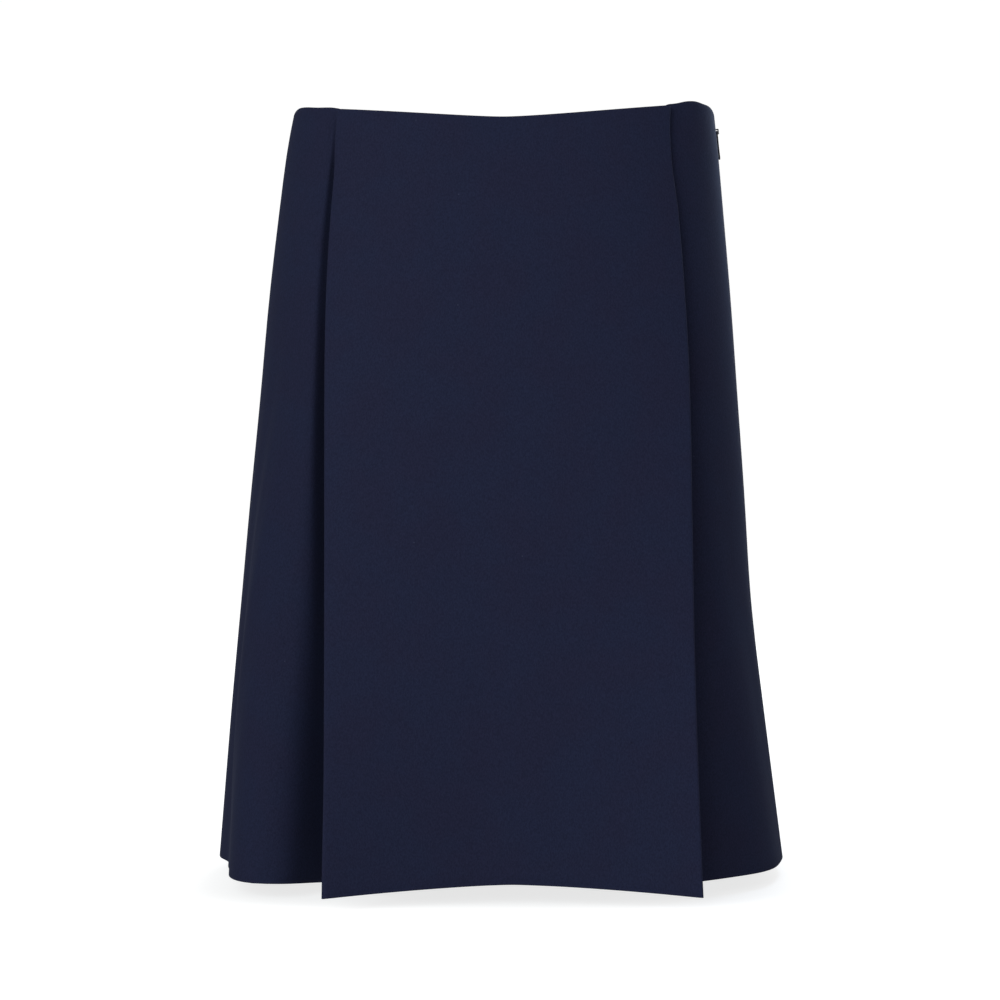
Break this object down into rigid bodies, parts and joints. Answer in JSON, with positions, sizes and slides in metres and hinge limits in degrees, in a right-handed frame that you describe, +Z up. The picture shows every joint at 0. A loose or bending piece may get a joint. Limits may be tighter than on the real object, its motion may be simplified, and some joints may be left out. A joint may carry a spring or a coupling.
{
  "type": "midi skirt",
  "caption": "Hollow A-line skirt, filled out as worn, with a stand-off front panel between side pleats that open to the hem and a side zip with a hinged pull tab.",
  "frame": {"origin": "middle of the waist opening, at the height of the waist at the side seams, where a wearer's waist holds the skirt", "axes": "+Z up, the front panel faces -Y, and +X is the wearer's left, the side of the zip"},
  "size_m": [0.4463, 0.3119, 0.5922],
  "materials": {
    "crepe": "matt navy wool crepe",
    "zip_tape": "navy woven polyester tape",
    "zip_metal": "navy enamel, satin"
  },
  "bodies": {
    "skirt": {"front_panel": "crepe", "side_front_left": "crepe", "side_front_right": "crepe", "back_panel": "crepe", "zip_tape_front": "zip_tape", "zip_tape_back": "zip_tape", "zip_slider": "zip_metal"},
    "pull": {"zip_pull": "zip_metal"}
  },
  "joints": [
    {"name": "pull_hinge", "type": "hinge", "parent": "skirt", "child": "pull", "pos_m": [0.16921, 0.0006, -0.01133], "axis": [0, -1, 0], "range_deg": [0, 165]}
  ]
}
